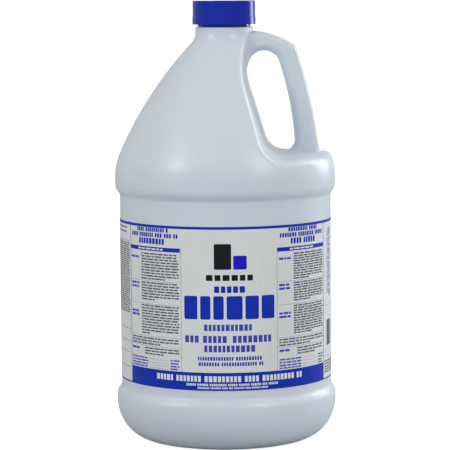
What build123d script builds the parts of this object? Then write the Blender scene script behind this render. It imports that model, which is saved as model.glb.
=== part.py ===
from build123d import *
from math import radians, tan
import os

# Gallon bleach bottle: a blow-moulded bottle with a hollow handle, a wrap-round label
# and a push-and-turn closure. Millimetres, +Z up. The origin is the centre of the ring
# that the bottle stands on. The handle points along +X, the label's front along -Y.

# Bottle body, a form of revolution up to the neck
wall = 0.8
bumper_radius = 77.4
panel_depth = 3.3
foot_radius = 52.8
foot_width = 2.0
push_up = 7.1
push_up_share = 0.8
heel_height = 28.3
lower_bumper_top = 33.5
panel_bottom = 38.1
panel_top = 172.7
upper_bumper_bottom = 177.2
upper_bumper_top = 183.9
bumper_round = 8.1
panel_round = 4.1
shoulder_round = 45.0
shoulder_start_angle = 24.0
shoulder_end_angle = 44.2
neck_radius = 20.0
neck_bottom = 281.2
neck_fillet = 10.2
neck_top = 289.2

# Finger recess beside the handle, cut from both sides with the mould's draft
mould_draft_angle = 5.0
recess_floor = 203.4
recess_foot_x = 32.0
recess_fall_x = 56.0
recess_fall_angle = 6.0
recess_waist = (12.8, 264.3)
recess_top = (24.0, 298.9)
recess_corner = 14.2
recess_fall_round = 30.0
recess_waist_round = 53.8
recess_edge = 5.8

# Handle, drawn in the plane where the mould halves meet
handle_width = 22.3
handle_draft_angle = 3.0
handle_root = (8.1, 286.4)
handle_top_middle = (32.0, 284.3)
handle_shoulder = (49.7, 276.2)
handle_shoulder_round = 4.0
handle_back_middle = (60.3, 238.5)
handle_foot = (66.9, 200.1)
handle_depth = 12.2
handle_outer_round = 3.6
handle_inner_round = 5.6
finger_top = (28.0, 261.5)
finger_top_radius = 11.3
finger_top_angles = (165.0, 18.0)
finger_foot = (49.2, 210.5)
finger_foot_radius = 7.3
finger_foot_angle = 65.0
finger_zone = finger_top_radius + handle_inner_round

# Neck finish above the bottle's top, whose thread the closure hides
finish_radius = 15.0
finish_height = 10.9
finish_wall = 1.8
thread_depth = 1.25
rim_round = 0.5
neck_round = 0.8

# Label, glued round the recessed panel with its ends lapped at the back
label_bottom = 43.8
label_height = 112.3
label_thickness = 0.15
glue_thickness = 0.1
label_lap = 9.0

# Closure: a liner, a threaded inner cap, and a shell that is pushed down to grip it
seat_gap = 0.3
running_gap = 0.3
liner_thickness = 1.0
liner_gap = 0.2
inner_cap_wall = 2.0
inner_cap_top = 1.5
collar_show = 1.6
press_travel = 1.3
flange_thickness = 1.0
bead_height = 1.4
lug_count = 8
lug_start_radius = 11.5
lug_length = 5.5
lug_width = 3.0
shell_wall = 1.4
snap_depth = 1.95
shell_top = 1.6
shell_edge = 0.9
band_step = 0.25
band_height = 5.2

# Levels and radii that follow from the sizes above
rim_level = neck_top + finish_height
liner_level = rim_level + seat_gap
inner_ceiling = liner_level + liner_thickness + liner_gap
inner_top_level = inner_ceiling + inner_cap_top
inner_bottom_level = neck_top + seat_gap
inner_cap_bore = finish_radius + thread_depth + running_gap
inner_cap_radius = inner_cap_bore + inner_cap_wall
shell_ceiling = inner_top_level + 2 * press_travel + seat_gap
cap_top_level = shell_ceiling + shell_top
shell_bottom_level = inner_bottom_level + collar_show
bead_top_level = shell_bottom_level + bead_height
bead_radius = inner_cap_radius + running_gap
shell_bore = inner_cap_radius + snap_depth
shell_radius = shell_bore + shell_wall
flange_level = bead_top_level + seat_gap
flange_radius = shell_bore - running_gap
lug_radius = lug_start_radius + lug_length / 2
panel_radius = bumper_radius - panel_depth
label_radius = panel_radius + glue_thickness
mouth_radius = finish_radius - finish_wall

front_half = Axis((0, 0, 0), (0, 0, -1))
reach = 2 * bumper_radius
near = 0.01


def body_half(inset):
    """Front half of the body without its handle, each face moved in by inset."""
    bumper = bumper_radius - inset
    panel = panel_radius - inset
    neck = neck_radius - inset
    neck_corner = neck_bottom - inset * tan(radians(shoulder_end_angle) / 2)
    with BuildPart() as half:
        with BuildSketch(Plane.XZ) as section:
            with BuildLine():
                middle = Vector(0, push_up + inset)
                ring = Vector(foot_radius - foot_width, inset)
                swell = middle + (ring - middle) * push_up_share
                dome = TangentArc(middle, swell, tangent=(1, 0))
                TangentArc(swell, ring, tangent=dome % 1)
                Line(ring, (foot_radius, inset))
                heel = EllipticalCenterArc(
                    (foot_radius, heel_height),
                    bumper - foot_radius,
                    heel_height - inset,
                    start_angle=270,
                    arc_size=90,
                )
                side = FilletPolyline(
                    heel @ 1,
                    (bumper, lower_bumper_top),
                    (panel, panel_bottom),
                    (panel, panel_top),
                    (bumper, upper_bumper_bottom),
                    (bumper, upper_bumper_top),
                    radius=(
                        bumper_round - inset,
                        panel_round + inset,
                        panel_round + inset,
                        bumper_round - inset,
                    ),
                )
                crown = JernArc(
                    side @ 1, (0, 1), shoulder_round - inset, shoulder_start_angle
                )
                slope = TangentArc(crown @ 1, (neck, neck_corner), tangent=crown % 1)
                Polyline(slope @ 1, (neck, neck_top - inset), (0, neck_top - inset), middle)
            make_face()
            waist = section.vertices().filter_by_position(
                Axis.Y, neck_corner - near, neck_corner + near
            )
            fillet(waist, neck_fillet + inset)
        revolve(axis=front_half, revolution_arc=180)
    return half.part


def recess_half(inset):
    """What the front mould half takes away beside the handle, its floor and wall."""
    low_end = recess_floor - (reach - recess_fall_x) * tan(radians(recess_fall_angle))
    with BuildPart() as recess:
        with BuildSketch(Plane.XZ):
            with BuildLine():
                edge = FilletPolyline(
                    (reach, low_end),
                    (recess_fall_x, recess_floor),
                    (recess_foot_x, recess_floor),
                    recess_waist,
                    recess_top,
                    radius=(recess_fall_round, recess_corner, recess_waist_round),
                )
                Polyline(edge @ 1, (reach, recess_top[1]), edge @ 0)
            make_face()
            if inset:
                offset(amount=inset, kind=Kind.INTERSECTION)
        extrude(amount=reach, taper=-mould_draft_angle)
    return recess.part


def handle_half(inset):
    """Front half of the handle, whose two ends run on inside the body."""
    with BuildPart() as handle:
        with BuildSketch(Plane.XZ) as section:
            with BuildLine():
                arch_start, arch_end = finger_top_angles
                arch = CenterArc(
                    finger_top, finger_top_radius, arch_start, arch_end - arch_start
                )
                side = TangentArc(arch @ 1, finger_foot, tangent=arch % 1)
                corner = JernArc(side @ 1, side % 1, finger_foot_radius, -finger_foot_angle)
                low = corner @ 1 + (corner % 1) * handle_depth
                high = arch @ 0 - (arch % 0) * handle_depth
                top = ThreePointArc(handle_root, handle_top_middle, handle_shoulder)
                back = ThreePointArc(top @ 1, handle_back_middle, handle_foot)
                Polyline(back @ 1, (handle_foot[0], low.Y), low, corner @ 1)
                Polyline(arch @ 0, high, (handle_root[0], high.Y), handle_root)
            make_face()
            shoulder = section.vertices().sort_by_distance(handle_shoulder)[0]
            fillet(shoulder, handle_shoulder_round)
            if inset:
                offset(amount=-inset, kind=Kind.INTERSECTION)
        extrude(amount=handle_width / 2 - inset, taper=handle_draft_angle)
    return handle.part


def mould_half(inset):
    """Front mould half of the whole bottle below the neck finish."""
    body = body_half(inset)
    recess = recess_half(inset)
    body_skin = body.shell()
    recess_skin = recess.shell()
    with BuildPart() as half:
        add(body)
        add(recess, mode=Mode.SUBTRACT)
        rim = half.edges().filter_by(
            lambda edge: body_skin.distance_to(edge @ 0.5) < near
            and recess_skin.distance_to(edge @ 0.5) < near
            and (edge @ 0.5).Y < -near
        )
        fillet(rim, recess_edge - inset)
    carved = half.part
    finger_line = Edge.make_line(
        (finger_top[0], -handle_width / 2, finger_top[1]),
        (finger_foot[0] - finger_foot_radius, -handle_width / 2, finger_foot[1]),
    )
    with BuildPart() as handle:
        add(handle_half(inset))
        face_edges = handle.faces().sort_by(Axis.Y)[0].edges()
        shown = face_edges.filter_by(lambda edge: not carved.is_inside(edge @ 0.5))
        inner = shown.filter_by(
            lambda edge: finger_line.distance_to(edge @ 0.5) < finger_zone
        )
        outer = [edge for edge in shown if edge not in inner]
        fillet(inner, handle_inner_round - inset)
        fillet(outer, handle_outer_round - inset)
    return carved + handle.part


with BuildPart() as cavity:
    add(mould_half(wall))
    mirror(about=Plane.XZ)

with BuildPart() as bottle:
    add(mould_half(0))
    mirror(about=Plane.XZ)
    neck_edge = bottle.edges().filter_by(GeomType.CIRCLE).group_by(Axis.Z)[-1]
    fillet(neck_edge, neck_round)
    add(cavity.part, mode=Mode.SUBTRACT)
    with BuildSketch(Plane.XY.offset(neck_top)):
        Circle(mouth_radius)
    extrude(amount=-2 * wall, mode=Mode.SUBTRACT)

with BuildPart() as neck_finish:
    with BuildSketch(Plane.XY.offset(neck_top)):
        Circle(finish_radius)
        Circle(mouth_radius, mode=Mode.SUBTRACT)
    extrude(amount=finish_height)
    rim_edges = neck_finish.edges().filter_by(GeomType.CIRCLE).group_by(Axis.Z)[-1]
    fillet(rim_edges, rim_round)

with BuildPart() as label:
    with BuildSketch(Plane.XY.offset(label_bottom)):
        Circle(label_radius + label_thickness)
        Circle(label_radius, mode=Mode.SUBTRACT)
    extrude(amount=label_height)
    with BuildSketch(Plane.XY.offset(label_bottom)):
        with Locations((0, label_radius)):
            Rectangle(label_lap, label_radius)
        Circle(label_radius + 2 * label_thickness, mode=Mode.INTERSECT)
        Circle(label_radius, mode=Mode.SUBTRACT)
    extrude(amount=label_height)

with BuildPart() as liner:
    with BuildSketch(Plane.XY.offset(liner_level)):
        Circle(inner_cap_bore - running_gap)
    extrude(amount=liner_thickness)

with BuildPart() as inner_cap:
    with BuildSketch(Plane.XZ):
        with BuildLine():
            Polyline(
                (0, inner_ceiling),
                (inner_cap_bore, inner_ceiling),
                (inner_cap_bore, inner_bottom_level),
                (inner_cap_radius, inner_bottom_level),
                (inner_cap_radius, flange_level),
                (flange_radius, flange_level),
                (flange_radius, flange_level + flange_thickness),
                (inner_cap_radius, flange_level + flange_thickness),
                (inner_cap_radius, inner_top_level),
                (0, inner_top_level),
                close=True,
            )
        make_face()
    revolve(axis=Axis.Z)
    with BuildSketch(Plane.XY.offset(inner_top_level)):
        with PolarLocations(lug_radius, lug_count):
            Rectangle(lug_length, lug_width)
    extrude(amount=press_travel)

with BuildPart() as cap_shell:
    with BuildSketch(Plane.XZ):
        with BuildLine():
            Polyline(
                (0, shell_ceiling),
                (shell_bore, shell_ceiling),
                (shell_bore, bead_top_level),
                (bead_radius, bead_top_level),
                (bead_radius, shell_bottom_level),
                (shell_radius + band_step, shell_bottom_level),
                (shell_radius + band_step, shell_bottom_level + band_height),
                (shell_radius, shell_bottom_level + band_height + band_step),
                (shell_radius, cap_top_level),
                (0, cap_top_level),
                close=True,
            )
        make_face()
    revolve(axis=Axis.Z)
    crown_edge = cap_shell.edges().filter_by(GeomType.CIRCLE).group_by(Axis.Z)[-1]
    fillet(crown_edge, shell_edge)
    with BuildSketch(Plane.XY.offset(shell_ceiling)):
        with PolarLocations(lug_radius, lug_count, start_angle=180 / lug_count):
            Rectangle(lug_length, lug_width)
    extrude(amount=-press_travel)

bottle.part.label = "bottle"
neck_finish.part.label = "neck_finish"
label.part.label = "label"
liner.part.label = "liner"
inner_cap.part.label = "inner_cap"
cap_shell.part.label = "cap_shell"

os.makedirs("parts", exist_ok=True)
export_step(bottle.part, "parts/bottle.step")
export_step(neck_finish.part, "parts/neck_finish.step")
export_step(label.part, "parts/label.step")
export_step(liner.part, "parts/liner.step")
export_step(inner_cap.part, "parts/inner_cap.step")
export_step(cap_shell.part, "parts/cap_shell.step")
print("inner volume, litres:", round(cavity.part.volume / 1e6, 3))
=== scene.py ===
import math
import random

import bmesh
import bpy
from mathutils import Matrix, Vector
from mathutils.bvhtree import BVHTree


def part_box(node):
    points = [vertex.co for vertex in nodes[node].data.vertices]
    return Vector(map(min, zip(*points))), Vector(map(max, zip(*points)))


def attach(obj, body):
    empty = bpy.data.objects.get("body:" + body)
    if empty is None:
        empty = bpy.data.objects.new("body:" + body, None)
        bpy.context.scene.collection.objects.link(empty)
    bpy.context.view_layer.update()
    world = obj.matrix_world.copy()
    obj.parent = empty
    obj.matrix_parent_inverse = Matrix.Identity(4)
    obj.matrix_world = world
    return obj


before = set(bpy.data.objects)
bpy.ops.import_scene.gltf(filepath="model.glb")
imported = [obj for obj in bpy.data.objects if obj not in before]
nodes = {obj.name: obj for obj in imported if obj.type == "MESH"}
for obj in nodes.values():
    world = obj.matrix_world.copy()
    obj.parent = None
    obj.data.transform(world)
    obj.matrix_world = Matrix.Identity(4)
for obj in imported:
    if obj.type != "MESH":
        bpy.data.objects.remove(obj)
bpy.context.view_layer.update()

MM = 0.001

# Camera, from the photograph's perspective: a long lens at the height of the closure's top,
# turned a little down. Angles are in degrees, lens and sensor in millimetres.
CAMERA_PLACE = (-0.0003, -1.595, 0.3094)
CAMERA_DOWN = 5.71
CAMERA_ROLL = -0.42
CAMERA_LENS = 181.7
SENSOR = 36.0

# Colours (0 to 255, sRGB), as the photograph shows them in even light. The liner's is a guess.
HDPE_COLOUR = (212, 221, 231)
LABEL_COLOUR = (222, 226, 223)
CAP_COLOUR = (8, 40, 164)
LINER_COLOUR = (226, 226, 222)
INKS = {
    "blue": (6, 46, 174),
    "bright_blue": (22, 20, 192),
    "soft_blue": (66, 70, 184),
    "pale_blue": (150, 156, 204),
    "dark": (20, 21, 28),
    "grey": (92, 93, 108),
    "white": (226, 230, 234),
}

# Noise in the materials, the span that most of it fills, and the stops of a mottled colour
NOISE_DETAIL = 3.0
NOISE_ROUGHNESS = 0.5
NOISE_LOW = 0.3
NOISE_HIGH = 0.7
MOTTLE_STOPS = (0.35, 0.65)

# Studio: the light of the surroundings, how bright the camera sees them, and the floor
WHITE = (1, 1, 1, 1)
AMBIENT = 0.51
BACKDROP = 1.1
FLOOR_TONE = (0.5, 0.52, 0.55, 1)
FLOOR_GLOW = 0.85
FLOOR_ROUGHNESS = 0.7
FLOOR_SIZE = 4.0
FLOOR_SEGMENTS = 8

# Soft lights: name, place, target, size and power in watts
LIGHTS = (
    ("left_box", (-1.2, -0.84, 0.93), (0, 0, 0.2), (0.46, 0.6), 7.1),
    ("right_box", (0.94, -1.1, 0.97), (0, 0, 0.2), (0.42, 0.6), 6.6),
    ("strip", (0.85, 0.56, 0.6), (0, 0, 0.25), (0.42, 0.8), 5.4),
)

# Label, from the frame: where its skin lies and how high it starts
label_low, label_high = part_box("label")
LABEL_RADIUS = -label_low.x
LABEL_BOTTOM = label_low.z
LAP_THICKNESS = label_high.y - label_high.x
LAP_WIDTH = 9.0 * MM
HALF_ROUND = math.pi * LABEL_RADIUS

# Slabs of ink: how far out of the film and into it, and how they follow its round
INK_PROUD = 0.03 * MM
INK_SUNK = 0.03 * MM
OVERPRINT = 0.03 * MM
STATION = 2.0 * MM
CORNER_STEPS = 4
PRINT_CENTRE = math.radians(1.9)

# Small print: the least room for a word, its lengths, the gap after it, and the lines
WORD_ROOM = 1.2 * MM
WORD_SHORT = 1.6 * MM
WORD_LONG = 6.5 * MM
WORD_GAP = 0.75 * MM
LINE_PITCH = 1.9 * MM
LINE_HEIGHT = 1.0 * MM
LAST_LINE = (0.25, 0.7)

# Larger print, in shares of a letter's height, and the fewest letters of a word
LETTER_WIDTH = (0.42, 0.62)
LETTER_GAP = 0.2
LETTER_SPACE = 0.45
FEWEST_LETTERS = 3

# Print layout from here on: millimetres across from the front's centre, or from a column's
# left edge, and up from the lower edge. Fields are (left, right, low, high).
PANEL_INNER = 33.8
PANEL_OUTER = 82.4
BAND = (0.4, 12.8)
TOP_LINE = (110.3, 112.15)
LOWER_LINE = (0.4, 1.3)
RULE = 0.3
BOLD_RULE = 0.8
INNER_RULE_TOP = 97

# Lines of letters in the band: left, right, low, height and the letters' relative width
BAND_LINES = (
    (-54, 56.5, 6.5, 4.0, 1.0),
    (-30.5, 34.5, 3.7, 1.6, 1.1),
    (-22.5, 27, 1.7, 1.2, 1.1),
)

# Front: two plain fields, titles (field, shares of the blocks, gap, corner), then lines of
# letters (left, right, low, height)
MARKS = (("dark", (-10.5, 1.2, 83.2, 100.6)), ("bright_blue", (2.6, 11.8, 83.2, 92.6)))
MARK_CORNER = 1.0
TITLES = (
    ("dark", (-16, 16, 75.6, 79.6), (1.1, 1, 1.15, 1.05, 0.9, 0.95), 1.4, 0.5),
    ("blue", (-10.5, 10.5, 67.4, 71.9), (1.05, 0.9, 0.9, 1, 1.1), 1.1, 0.5),
    ("blue", (-31.5, 31.5, 49.2, 65.2), (1, 0.75, 0.75, 1.15, 1, 1), 2.0, 1.2),
)
FRONT_LINES = (
    (-17.5, 17.5, 41.4, 4.4),
    (-31, -1.5, 33.3, 4.8),
    (2, 31.5, 33.3, 4.8),
    (-17.5, 18.5, 26.9, 4.6),
    (-22, 23.5, 21.2, 2.5),
    (-21.5, 23.5, 17.4, 2.5),
)
FRONT_LONGEST = 30

# Columns beside the front. Headings: half their width, low, height, the letters' relative
# width and the most in a word. Entries: top, bottom and the lines of print left of them.
COLUMN_PITCH = (1.9, 1.7)
COLUMN_MARGIN = 1.5
ENTRY_WIDTH = 12.5
TEXT_LEFT = 1.2
TEXT_RIGHT = 1.6
HEADINGS = ((15, 107.4, 2.7, 1.0, 9), (22, 103.7, 2.9, 1.0, 9), (13, 99.0, 3.9, 0.95, 12))
HEADER = (94.2, 97.0)
HEADER_INSET = 0.6
HEADER_WORDS = (14, 10, 95.0, 1.1, 0.8)
ENTRIES = (
    (92.6, 74.5, (88.5,)),
    (72.6, 58.6, (70.5, 68)),
    (56.8, 36.2, (51, 48.6)),
)
ENTRY_RULE = (1.1, 0.85)
ENTRY_WORDS = (1.5, 0.7)
WIDE_TEXT = (34.2, 29.4)
WIDE_RULE = (28.4, 28.65)
LAST_ENTRY = 25.4
LAST_TEXT = (27.4, 21.6)
LAST_TEXT_INSET = 3
LIST_LINES = (19.4, 17.4, 15.4, 13.6)
LIST_WORDS = (1.0, 0.7)
LIST_NAME_END = 4
LIST_RULE = (3, 8, 0.2)
LIST_FIGURE = 7

# Columns round the sides and back
SIDE_COLUMNS = 3
SIDE_MARGIN = 1.8
SIDE_RULE_LOW = 3
SIDE_LINE_HEIGHT = 0.9
SIDE_TOP = 109.0
SIDE_BOTTOM = 4.5
SIDE_BLOCKS = (22.4, 26.9, 15.7)
SIDE_TEXT_END = 1.5
SIDE_RULE = (0.6, 0.3)
SIDE_HEADING = (3.4, 1.7, 0.8)
SIDE_HEADING_SHARE = 0.45
SIDE_STEP = 5.4

# Column left of the front: two lines, rules, and close print (top, bottom, pitch, height)
CLOSE_HEADING = (107.6, 104.6)
CLOSE_HEADING_WORDS = (1.0, 0.8)
CLOSE_HEADING_INSET = 5
CLOSE_RULES = (98.8, 37.6, 28.9, 21.2, 10.8)
CLOSE_PRINT = (97.7, 47.6)
CLOSE_PITCH = 1.45
CLOSE_LINE_HEIGHT = 0.85

# Column right of the front: upright lines of print, a grey field, a pale table and a text
UPRIGHT_LINES = (("pale_blue", 5.4), ("grey", 7.8), ("soft_blue", 10.2), ("grey", 12.6))
UPRIGHT_START = 57.0
UPRIGHT_SPREAD = 6
UPRIGHT_END = 104
UPRIGHT_WORD = (2, 6)
UPRIGHT_HEIGHT = 1.2
UPRIGHT_GAP = 0.9
CONTENTS_RULES = (52, 16)
CONTENTS_FIELD = (4.8, 14, 23.8, 41.8)
TABLE_ROWS = 14
TABLE_LOW = 24
TABLE_PITCH = 1.5
TABLE_ROW = (0.3, 1.0)
TABLE_LEFT = 17
TABLE_RIGHT = 4
CONTENTS_TEXT = (13.5, 4.5)
CONTENTS_TEXT_INSET = 3

# Screw thread of the closure
THREAD_PITCH = 4.233 * MM
THREAD_DEPTH = 1.15 * MM
THREAD_BASE = 1.9 * MM
THREAD_LAND = 0.4
THREAD_SUNK = 0.1 * MM
THREAD_START = 3.0 * MM
THREAD_TURNS = 1.4
THREAD_STEPS = 96
THREAD_FADE = 0.1
THREAD_END_HEIGHT = 0.06
THREAD_END_WIDTH = 0.5
RUNNING_GAP = 0.3 * MM

# Parting line of the mould, and the rays that tell the bottle's outside from its inside
SEAM_HEIGHT = 0.14 * MM
SEAM_WIDTH = 0.6 * MM
SEAM_FOOT = 6.0 * MM
SEAM_LABEL_CLEAR = 1.0 * MM
SEAM_CUT = 1e-7
SEAM_PLANE = 1e-6
SEAM_AXIS_CLEAR = 1e-4
SEAM_LEAST_NORMAL = 0.5
RAY_START = 0.05 * MM
RAY_ASIDE = 0.013 * MM
RAY_STEP = 0.02 * MM
RAY_MOST_HITS = 40


def mm(*values):
    return [value * MM for value in values]


def srgb(colour):
    """Linear colour with alpha from 0 to 255 sRGB values."""
    linear = []
    for value in colour:
        c = value / 255
        linear.append(c / 12.92 if c <= 0.04045 else ((c + 0.055) / 1.055) ** 2.4)
    return (*linear, 1.0)


def shader(name, roughness, **sockets):
    """A material with its Principled shader, whose uniform sockets are set directly."""
    material = bpy.data.materials.new(name)
    material.use_nodes = True
    tree = material.node_tree
    principled = tree.nodes["Principled BSDF"]
    principled.inputs["Roughness"].default_value = roughness
    for socket, value in sockets.items():
        principled.inputs[socket.replace("_", " ")].default_value = value
    return material, tree, principled


def node(tree, kind, **inputs):
    made = tree.nodes.new(kind)
    for socket, value in inputs.items():
        made.inputs[socket.replace("_", " ")].default_value = value
    return made


def noise(tree, scale):
    """Object-space noise, whose scale is in features a metre."""
    place = tree.nodes.new("ShaderNodeTexCoord")
    made = node(tree, "ShaderNodeTexNoise", Scale=scale, Detail=NOISE_DETAIL)
    made.inputs["Roughness"].default_value = NOISE_ROUGHNESS
    tree.links.new(place.outputs["Object"], made.inputs["Vector"])
    return made.outputs["Fac"]


def mottle(tree, principled, colour, down, up, scale):
    """Base colour that drifts between two close tones, down and up from the colour."""
    ramp = tree.nodes.new("ShaderNodeValToRGB")
    for index, amount in enumerate((-down, up)):
        stop = ramp.color_ramp.elements[index]
        stop.position = MOTTLE_STOPS[index]
        stop.color = srgb([value + amount for value in colour])
    tree.links.new(noise(tree, scale), ramp.inputs["Fac"])
    tree.links.new(ramp.outputs["Color"], principled.inputs["Base Color"])


def uneven_gloss(tree, principled, low, high, scale):
    """Roughness that varies a little over the surface."""
    spread = node(tree, "ShaderNodeMapRange", From_Min=NOISE_LOW, From_Max=NOISE_HIGH)
    spread.inputs["To Min"].default_value = low
    spread.inputs["To Max"].default_value = high
    tree.links.new(noise(tree, scale), spread.inputs["Value"])
    tree.links.new(spread.outputs["Result"], principled.inputs["Roughness"])


def relief(tree, principled, layers):
    """Bump from noise layers, each (features a metre, height in metres)."""
    last = None
    for scale, height in layers:
        bump = node(tree, "ShaderNodeBump", Strength=1.0, Distance=height)
        tree.links.new(noise(tree, scale), bump.inputs["Height"])
        if last:
            tree.links.new(last.outputs["Normal"], bump.inputs["Normal"])
        last = bump
    tree.links.new(last.outputs["Normal"], principled.inputs["Normal"])


def hdpe():
    """Blow-moulded wall: satin, a little waxy and translucent, with a faint uneven skin."""
    material, tree, principled = shader(
        "blown_plastic", 0.34, IOR=1.5, Subsurface_Weight=0.2,
        Subsurface_Radius=(1.0, 1.0, 1.0), Subsurface_Scale=1.5 * MM,
    )
    mottle(tree, principled, HDPE_COLOUR, down=2, up=2, scale=14)
    uneven_gloss(tree, principled, low=0.3, high=0.38, scale=30)
    relief(tree, principled, [(22, 0.25 * MM), (2200, 0.006 * MM)])
    return material


def film():
    """Label film: paler and a touch warmer than the bottle, with slight waves."""
    material, tree, principled = shader("label_film", 0.5, IOR=1.48, Specular_IOR_Level=0.3)
    mottle(tree, principled, LABEL_COLOUR, down=2, up=2, scale=40)
    uneven_gloss(tree, principled, low=0.45, high=0.55, scale=60)
    relief(tree, principled, [(45, 0.08 * MM), (3000, 0.003 * MM)])
    return material


def ink(name, colour):
    """Printed ink, with the film's own sheen."""
    material, tree, principled = shader(name, 0.45, IOR=1.48, Specular_IOR_Level=0.2)
    mottle(tree, principled, colour, down=4, up=4, scale=900)
    uneven_gloss(tree, principled, low=0.4, high=0.5, scale=400)
    return material


def closure_plastic():
    """Glossy injection-moulded plastic with the finest orange peel."""
    material, tree, principled = shader("closure_plastic", 0.1, IOR=1.5, Specular_IOR_Level=0.25)
    mottle(tree, principled, CAP_COLOUR, down=3, up=3, scale=60)
    uneven_gloss(tree, principled, low=0.08, high=0.13, scale=120)
    relief(tree, principled, [(160, 0.02 * MM), (2600, 0.0015 * MM)])
    return material


def foam():
    """Soft closed-cell liner."""
    material, tree, principled = shader("liner_foam", 0.8, IOR=1.4)
    mottle(tree, principled, LINER_COLOUR, down=6, up=4, scale=700)
    uneven_gloss(tree, principled, low=0.7, high=0.9, scale=900)
    relief(tree, principled, [(1800, 0.03 * MM)])
    return material


def dress(name, material):
    """Gives a CAD node its material in each of its slots."""
    slots = nodes[name].data.materials
    if not slots:
        slots.append(material)
    for index in range(len(slots)):
        slots[index] = material


def piece(name, mesh, material, body):
    """A new object that rides on a body and takes its finish from a slot."""
    thing = bpy.data.objects.new(name, mesh)
    bpy.context.scene.collection.objects.link(thing)
    thing.data.materials.append(material)
    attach(thing, body)


def close_tube(bm, rings):
    """Faces from each ring of points to the next, closed at both ends."""
    for left, right in zip(rings, rings[1:]):
        for a in range(len(left)):
            b = (a + 1) % len(left)
            bm.faces.new((left[a], right[a], right[b], left[b]))
    bm.faces.new(rings[0])
    bm.faces.new(rings[-1][::-1])


def mesh_from(bm, name):
    """The mesh of a closed form, with its faces turned outwards."""
    bmesh.ops.recalc_face_normals(bm, faces=bm.faces)
    mesh = bpy.data.meshes.new(name)
    bm.to_mesh(mesh)
    bm.free()
    return mesh


class Print:
    """One ink of the label: slabs laid on its skin, drawn as plain strips."""

    def __init__(self, lift=0.0):
        self.bm = bmesh.new()
        self.lift = lift

    def point(self, across, up, depth):
        """A point across the print's centre line and up from the label's lower edge."""
        angle = PRINT_CENTRE + across / LABEL_RADIUS
        back = abs(math.remainder(angle - math.pi, 2 * math.pi)) * LABEL_RADIUS
        radius = LABEL_RADIUS + depth + (LAP_THICKNESS if back < LAP_WIDTH / 2 else 0)
        place = (radius * math.sin(angle), -radius * math.cos(angle), LABEL_BOTTOM + up)
        return self.bm.verts.new(place)

    def strip(self, stations):
        """A slab through stations of (across, lower edge, upper edge)."""
        outer = self.lift + INK_PROUD
        inner = self.lift - INK_SUNK
        rings = []
        for across, low, high in stations:
            corners = ((low, outer), (high, outer), (high, inner), (low, inner))
            rings.append([self.point(across, up, depth) for up, depth in corners])
        close_tube(self.bm, rings)

    def bar(self, left, right, low, high):
        """A straight-ended bar."""
        count = max(1, math.ceil((right - left) / STATION))
        step = (right - left) / count
        self.strip([(left + i * step, low, high) for i in range(count + 1)])

    def block(self, left, right, low, high, corner):
        """A bar with rounded corners."""
        end = []
        for i in range(CORNER_STEPS + 1):
            turn = math.radians(90 * i / CORNER_STEPS)
            drop = corner * (1 - math.sin(turn))
            end.append((left + corner * (1 - math.cos(turn)), low + drop, high - drop))
        straight = right - left - 2 * corner
        count = max(1, math.ceil(straight / STATION))
        middle = [(left + corner + straight * i / count, low, high) for i in range(1, count)]
        other_end = [(left + right - across, *levels) for across, *levels in reversed(end)]
        self.strip(end + middle + other_end)

    def finish(self, name, material):
        piece(name, mesh_from(self.bm, name), material, "bottle_body")


def words(sheet, left, right, low, height, spacing, rng):
    """A line of print as word-long bars."""
    across = left
    while across < right - WORD_ROOM:
        end = min(across + rng.uniform(WORD_SHORT, WORD_LONG), right)
        sheet.bar(across, end, low, low + height)
        across = end + spacing


def letters(sheet, left, right, low, height, rng, lean=1.0, longest=9):
    """A line of print as blocks the size of letters, grouped like words."""
    across = left
    while across < right:
        for _ in range(rng.randint(FEWEST_LETTERS, longest)):
            width = height * lean * rng.uniform(*LETTER_WIDTH)
            if across + width > right:
                return
            sheet.bar(across, across + width, low, low + height)
            across += width + height * lean * LETTER_GAP
        across += height * lean * LETTER_SPACE


def paragraph(sheet, left, right, top, bottom, rng, pitch=LINE_PITCH, height=LINE_HEIGHT):
    """Lines of small print, the last of them short."""
    lines = max(1, round((top - bottom) / pitch))
    for line in range(lines):
        low = top - height - line * pitch
        end = right
        if line == lines - 1:
            end = left + (right - left) * rng.uniform(*LAST_LINE)
        words(sheet, left, end, low, height, WORD_GAP, rng)


def title(sheet, left, right, low, high, shares, gap, corner):
    """A word of print as upright blocks, their widths in the given shares."""
    width = (right - left - gap * (len(shares) - 1)) / sum(shares)
    across = left
    for share in shares:
        sheet.block(across, across + width * share, low, high, corner)
        across += width * share + gap


def print_edges(sheets, rng):
    """Lines round the whole label, the band across the front, and the upright lines."""
    blue = sheets["blue"]
    outer, inner, rule = mm(PANEL_OUTER, PANEL_INNER, RULE)
    blue.bar(-HALF_ROUND, HALF_ROUND, *mm(*TOP_LINE))
    blue.bar(-outer, outer, *mm(*BAND))
    blue.bar(outer, 2 * HALF_ROUND - outer, *mm(*LOWER_LINE))
    for *place, lean in BAND_LINES:
        letters(sheets["white"], *mm(*place), rng, lean)
    for line in (-outer, outer):
        half = BOLD_RULE * rule
        blue.bar(line - half, line + half, *mm(BAND[1], TOP_LINE[0]))
    for line in (-inner, inner):
        half = rule / 2
        sheets["pale_blue"].bar(line - half, line + half, *mm(BAND[1], INNER_RULE_TOP))


def print_front(sheets, rng):
    """The front: two plain fields, then titles and lines below them."""
    for name, place in MARKS:
        sheets[name].block(*mm(*place, MARK_CORNER))
    for name, place, shares, gap, corner in TITLES:
        title(sheets[name], *mm(*place), shares, *mm(gap, corner))
    for place in FRONT_LINES:
        letters(sheets["soft_blue"], *mm(*place), rng, longest=FRONT_LONGEST)


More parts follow.
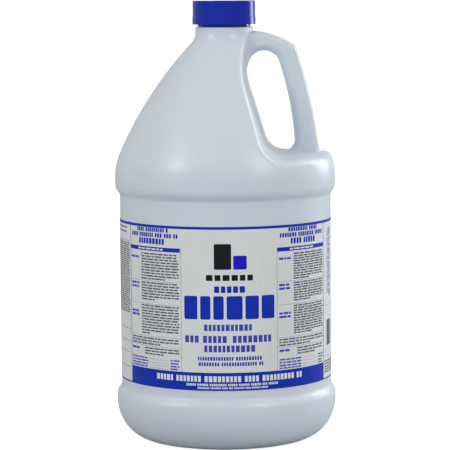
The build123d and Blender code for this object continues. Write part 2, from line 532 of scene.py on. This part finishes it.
def print_column(sheets, left, right, pitch, rng):
    """One of the two columns beside the front: headings, entries, a text and a list."""
    soft, pale, grey = sheets["soft_blue"], sheets["pale_blue"], sheets["grey"]
    middle = (left + right) / 2
    margin = left + COLUMN_MARGIN * MM
    entry = left + ENTRY_WIDTH * MM
    entry_end = entry - COLUMN_MARGIN * MM
    text_left = entry + TEXT_LEFT * MM
    text_right = right - TEXT_RIGHT * MM
    for half, low, height, lean, longest in HEADINGS:
        ends = middle - half * MM, middle + half * MM
        letters(sheets["blue"], *ends, *mm(low, height), rng, lean, longest)
    sheets["blue"].bar(left, right - HEADER_INSET * MM, *mm(*HEADER))
    before, after, *line = HEADER_WORDS
    words(sheets["white"], middle - before * MM, middle + after * MM, *mm(*line), rng)
    for top, bottom, entry_lines in ENTRIES:
        paragraph(grey, text_left, text_right, *mm(top, bottom), rng, pitch)
        for line in entry_lines:
            words(soft, margin, entry_end, *mm(line, *ENTRY_WORDS), rng)
        pale.bar(left, right, *mm(*(bottom - down for down in ENTRY_RULE)))
    paragraph(grey, margin, text_right, *mm(*WIDE_TEXT), rng)
    pale.bar(left, right, *mm(*WIDE_RULE))
    words(soft, margin, entry_end, *mm(LAST_ENTRY, *ENTRY_WORDS), rng)
    paragraph(grey, text_left + LAST_TEXT_INSET * MM, text_right, *mm(*LAST_TEXT), rng)
    rule_start, rule_end, rule_height = LIST_RULE
    for line in LIST_LINES:
        words(soft, margin, middle - LIST_NAME_END * MM, *mm(line, *LIST_WORDS), rng)
        ends = middle - rule_start * MM, text_right - rule_end * MM
        pale.bar(*ends, *mm(line, line + rule_height))
        words(soft, text_right - LIST_FIGURE * MM, text_right, *mm(line, *LIST_WORDS), rng)


def side_column(sheets, left, right, heading_right, rng):
    """A column of blocks of print with a rule and a heading between them."""
    style = rng, LINE_PITCH, SIDE_LINE_HEIGHT * MM
    rule_low, rule_high = SIDE_RULE
    down, *heading = SIDE_HEADING
    top = SIDE_TOP
    for height in SIDE_BLOCKS:
        bottom = top - height
        paragraph(sheets["grey"], left, right, *mm(top, bottom + SIDE_TEXT_END), *style)
        sheets["soft_blue"].bar(left, right, *mm(bottom - rule_low, bottom - rule_high))
        words(sheets["blue"], left, heading_right, *mm(bottom - down, *heading), rng)
        top = bottom - SIDE_STEP
    paragraph(sheets["grey"], left, right, *mm(top, SIDE_BOTTOM), *style)


def close_print_column(sheets, left, right, rng):
    """The column left of the front: a short heading, close lines and an empty table."""
    for line in CLOSE_HEADING:
        end = right - CLOSE_HEADING_INSET * MM
        words(sheets["grey"], left, end, *mm(line, *CLOSE_HEADING_WORDS), rng)
    for line in CLOSE_RULES:
        sheets["soft_blue"].bar(left, right, *mm(line, line + RULE))
    style = rng, *mm(CLOSE_PITCH, CLOSE_LINE_HEIGHT)
    paragraph(sheets["grey"], left, right, *mm(*CLOSE_PRINT), *style)


def contents_column(sheets, left, right, rng):
    """The column right of the front: upright lines of print and a grey field below them."""
    pale, grey = sheets["pale_blue"], sheets["grey"]
    for name, place in UPRIGHT_LINES:
        ends = left + place * MM, left + (place + UPRIGHT_HEIGHT) * MM
        low = UPRIGHT_START + rng.uniform(0, UPRIGHT_SPREAD)
        while low < UPRIGHT_END:
            high = low + rng.uniform(*UPRIGHT_WORD)
            sheets[name].bar(*ends, *mm(low, high))
            low = high + UPRIGHT_GAP
    for line in CONTENTS_RULES:
        pale.bar(left, right, *mm(line, line + RULE))
    field_left, field_right, *levels = CONTENTS_FIELD
    grey.bar(left + field_left * MM, left + field_right * MM, *mm(*levels))
    for row in range(TABLE_ROWS):
        low = TABLE_LOW + TABLE_PITCH * row
        high = low + rng.uniform(*TABLE_ROW)
        pale.bar(left + TABLE_LEFT * MM, right - TABLE_RIGHT * MM, *mm(low, high))
    paragraph(grey, left, right - CONTENTS_TEXT_INSET * MM, *mm(*CONTENTS_TEXT), rng)


def print_sides(sheets, rng):
    """Columns round the sides and back, up to the lap."""
    outer, rule, margin = mm(PANEL_OUTER, RULE, SIDE_MARGIN)
    width = (2 * HALF_ROUND - 2 * outer - 2 * LAP_WIDTH) / (2 * SIDE_COLUMNS)
    for side in (-1, 1):
        for column in range(SIDE_COLUMNS):
            start = outer + column * width if side > 0 else -outer - (column + 1) * width
            left = start + margin
            right = start + width - margin
            if column < SIDE_COLUMNS - 1:
                edge = side * (outer + (column + 1) * width)
                ends = edge - rule / 2, edge + rule / 2
                sheets["pale_blue"].bar(*ends, *mm(SIDE_RULE_LOW, TOP_LINE[0]))
            if column > 0:
                side_column(sheets, left, right, left + width * SIDE_HEADING_SHARE, rng)
            elif side > 0:
                contents_column(sheets, left, right, rng)
            else:
                close_print_column(sheets, left, right, rng)


def print_label():
    """The whole print, one piece for each ink, white laid over the blue."""
    rng = random.Random(7)
    sheets = {name: Print(OVERPRINT if name == "white" else 0.0) for name in INKS}
    outer, inner = mm(PANEL_OUTER, PANEL_INNER)
    print_edges(sheets, rng)
    print_front(sheets, rng)
    for ends, pitch in zip(((-outer, -inner), (inner, outer)), mm(*COLUMN_PITCH)):
        print_column(sheets, *ends, pitch, rng)
    print_sides(sheets, rng)
    for name, sheet in sheets.items():
        sheet.finish("print_" + name, ink(name + "_ink", INKS[name]))


def thread_ridge(name, root, crest, start_level, material, body):
    """A right-hand screw ridge round the axis that fades out at both ends."""
    bm = bmesh.new()
    steps = round(THREAD_TURNS * THREAD_STEPS)
    rings = []
    for i in range(steps + 1):
        share = i / steps
        fade = min(1.0, share / THREAD_FADE, (1 - share) / THREAD_FADE)
        fade = fade * fade * (3 - 2 * fade)
        top = root + (crest - root) * (THREAD_END_HEIGHT + (1 - THREAD_END_HEIGHT) * fade)
        half = THREAD_BASE / 2 * (THREAD_END_WIDTH + (1 - THREAD_END_WIDTH) * fade)
        land = half * THREAD_LAND
        angle = 2 * math.pi * THREAD_TURNS * share
        level = start_level + THREAD_PITCH * THREAD_TURNS * share
        ring = []
        for radius, up in ((root, -half), (top, -land), (top, land), (root, half)):
            place = (radius * math.cos(angle), radius * math.sin(angle), level + up)
            ring.append(bm.verts.new(place))
        rings.append(ring)
    close_tube(bm, rings)
    piece(name, mesh_from(bm, name), material, body)


def threads(bottle_material, cap_material):
    """The ridge round the neck finish, and the one inside the inner cap, half a pitch lower."""
    neck_low, neck_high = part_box("neck_finish")
    outside = neck_high.x
    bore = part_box("liner")[1].x + RUNNING_GAP
    low = neck_low.z + THREAD_START
    thread_ridge(
        "neck_thread", outside - THREAD_SUNK, outside + THREAD_DEPTH, low,
        bottle_material, "bottle_body",
    )
    thread_ridge(
        "cap_thread", bore + THREAD_SUNK, bore - THREAD_DEPTH, low - THREAD_PITCH / 2,
        cap_material, "threaded_cap",
    )


def walls_crossed(tree, start, way):
    """How many walls of the bottle a ray goes through."""
    hits = 0
    place = start
    while hits < RAY_MOST_HITS:
        hit = tree.ray_cast(place, way)[0]
        if hit is None:
            break
        hits += 1
        place = hit + way * RAY_STEP
    return (hits + 1) // 2


def seam_edges(bm, tree):
    """Edges of the cut that lie on the outside, off the label and the foot, with their way out.

    A ray from the outside goes through an even number of walls, one from inside through an
    odd number."""
    chosen = []
    for edge in bm.edges:
        a, b = edge.verts
        if abs(a.co.y) > SEAM_PLANE or abs(b.co.y) > SEAM_PLANE or not edge.link_faces:
            continue
        middle = (a.co + b.co) / 2
        if middle.z < SEAM_FOOT or abs(middle.x) < SEAM_AXIS_CLEAR:
            continue
        beside_label = (
            abs(middle.x) > LABEL_RADIUS - SEAM_LABEL_CLEAR
            and label_low.z - SEAM_LABEL_CLEAR < middle.z < label_high.z + SEAM_LABEL_CLEAR
        )
        if beside_label:
            continue
        out = edge.link_faces[0].normal.copy()
        out.y = 0
        if out.length < SEAM_LEAST_NORMAL:
            continue
        out.normalize()
        start = middle + out * RAY_START + Vector((0, RAY_ASIDE, 0))
        if walls_crossed(tree, start, out) % 2 == 0:
            chosen.append((edge, out))
    return chosen


def parting_line(bottle_material):
    """The faint raised line down both sides, where the mould halves met."""
    bm = bmesh.new()
    bm.from_mesh(nodes["bottle"].data)
    tree = BVHTree.FromBMesh(bm)
    bmesh.ops.bisect_plane(
        bm, geom=bm.verts[:] + bm.edges[:] + bm.faces[:], plane_co=(0, 0, 0), plane_no=(0, 1, 0),
        dist=SEAM_CUT, clear_outer=True,
    )
    chosen = seam_edges(bm, tree)
    lean = {}
    for edge, out in chosen:
        for vert in edge.verts:
            lean[vert] = lean.get(vert, Vector()) + out
    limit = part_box("bottle")[1].x
    side = Vector((0, SEAM_WIDTH / 2, 0))
    line = bmesh.new()
    made = {}
    for vert, out in lean.items():
        rise = out.normalized() * SEAM_HEIGHT
        peak = vert.co + rise
        peak.x = max(-limit, min(limit, peak.x))
        foot = vert.co - rise
        made[vert] = [line.verts.new(place) for place in (foot - side, peak, foot + side)]
    for edge, _ in chosen:
        a, b = (made[vert] for vert in edge.verts)
        for i in range(3):
            j = (i + 1) % 3
            line.faces.new((a[i], b[i], b[j], a[j]))
    bmesh.ops.holes_fill(line, edges=line.edges[:], sides=3)
    bm.free()
    mesh = mesh_from(line, "parting_line")
    piece("parting_line", mesh, bottle_material, "bottle_body")


def area_light(name, place, target, size, power):
    data = bpy.data.lights.new(name, "AREA")
    data.shape = "RECTANGLE"
    data.size, data.size_y = size
    data.energy = power
    light = bpy.data.objects.new(name, data)
    light.location = place
    light.rotation_euler = (Vector(target) - Vector(place)).to_track_quat("-Z", "Y").to_euler()
    bpy.context.scene.collection.objects.link(light)


def by_camera_ray(tree, otherwise, seen):
    """Shader output that shows seen to the camera and otherwise to all light."""
    rays = tree.nodes.new("ShaderNodeLightPath")
    mix = tree.nodes.new("ShaderNodeMixShader")
    tree.links.new(rays.outputs["Is Camera Ray"], mix.inputs["Fac"])
    tree.links.new(otherwise, mix.inputs[1])
    tree.links.new(seen, mix.inputs[2])
    return mix.outputs["Shader"]


def surroundings():
    """White all round, brighter to the camera than to the bottle."""
    world = bpy.data.worlds.new("studio")
    bpy.context.scene.world = world
    world.use_nodes = True
    tree = world.node_tree
    background = tree.nodes["Background"]
    background.inputs["Color"].default_value = WHITE
    background.inputs["Strength"].default_value = AMBIENT
    seen = node(tree, "ShaderNodeBackground", Color=WHITE, Strength=BACKDROP)
    tree.links.new(
        by_camera_ray(tree, background.outputs["Background"], seen.outputs["Background"]),
        tree.nodes["World Output"].inputs["Surface"],
    )


def pale_floor():
    """A plain floor that glows to the camera alone, so that it joins the surroundings."""
    bm = bmesh.new()
    bmesh.ops.create_grid(
        bm, x_segments=FLOOR_SEGMENTS, y_segments=FLOOR_SEGMENTS, size=FLOOR_SIZE
    )
    mesh = bpy.data.meshes.new("floor")
    bm.to_mesh(mesh)
    bm.free()
    floor = bpy.data.objects.new("floor", mesh)
    bpy.context.scene.collection.objects.link(floor)
    material, tree, principled = shader("pale_floor", FLOOR_ROUGHNESS)
    principled.inputs["Base Color"].default_value = FLOOR_TONE
    glow = node(tree, "ShaderNodeEmission", Strength=FLOOR_GLOW)
    lit = tree.nodes.new("ShaderNodeAddShader")
    tree.links.new(principled.outputs["BSDF"], lit.inputs[0])
    tree.links.new(glow.outputs["Emission"], lit.inputs[1])
    tree.links.new(
        by_camera_ray(tree, principled.outputs["BSDF"], lit.outputs["Shader"]),
        tree.nodes["Material Output"].inputs["Surface"],
    )
    floor.data.materials.append(material)


def camera():
    data = bpy.data.cameras.new("camera")
    data.lens = CAMERA_LENS
    data.sensor_width = SENSOR
    view = bpy.data.objects.new("camera", data)
    tilt = Matrix.Rotation(math.radians(90 - CAMERA_DOWN), 4, "X")
    roll = Matrix.Rotation(math.radians(CAMERA_ROLL), 4, "Z")
    view.matrix_world = Matrix.Translation(CAMERA_PLACE) @ tilt @ roll
    bpy.context.scene.collection.objects.link(view)
    bpy.context.scene.camera = view


bottle_plastic = hdpe()
dress("bottle", bottle_plastic)
dress("neck_finish", bottle_plastic)
dress("label", film())
dress("liner", foam())
cap_plastic = closure_plastic()
dress("inner_cap", cap_plastic)
dress("cap_shell", cap_plastic)
print_label()
threads(bottle_plastic, cap_plastic)
parting_line(bottle_plastic)
surroundings()
pale_floor()
for light in LIGHTS:
    area_light(*light)
camera()
bpy.context.scene.view_settings.view_transform = "Standard"
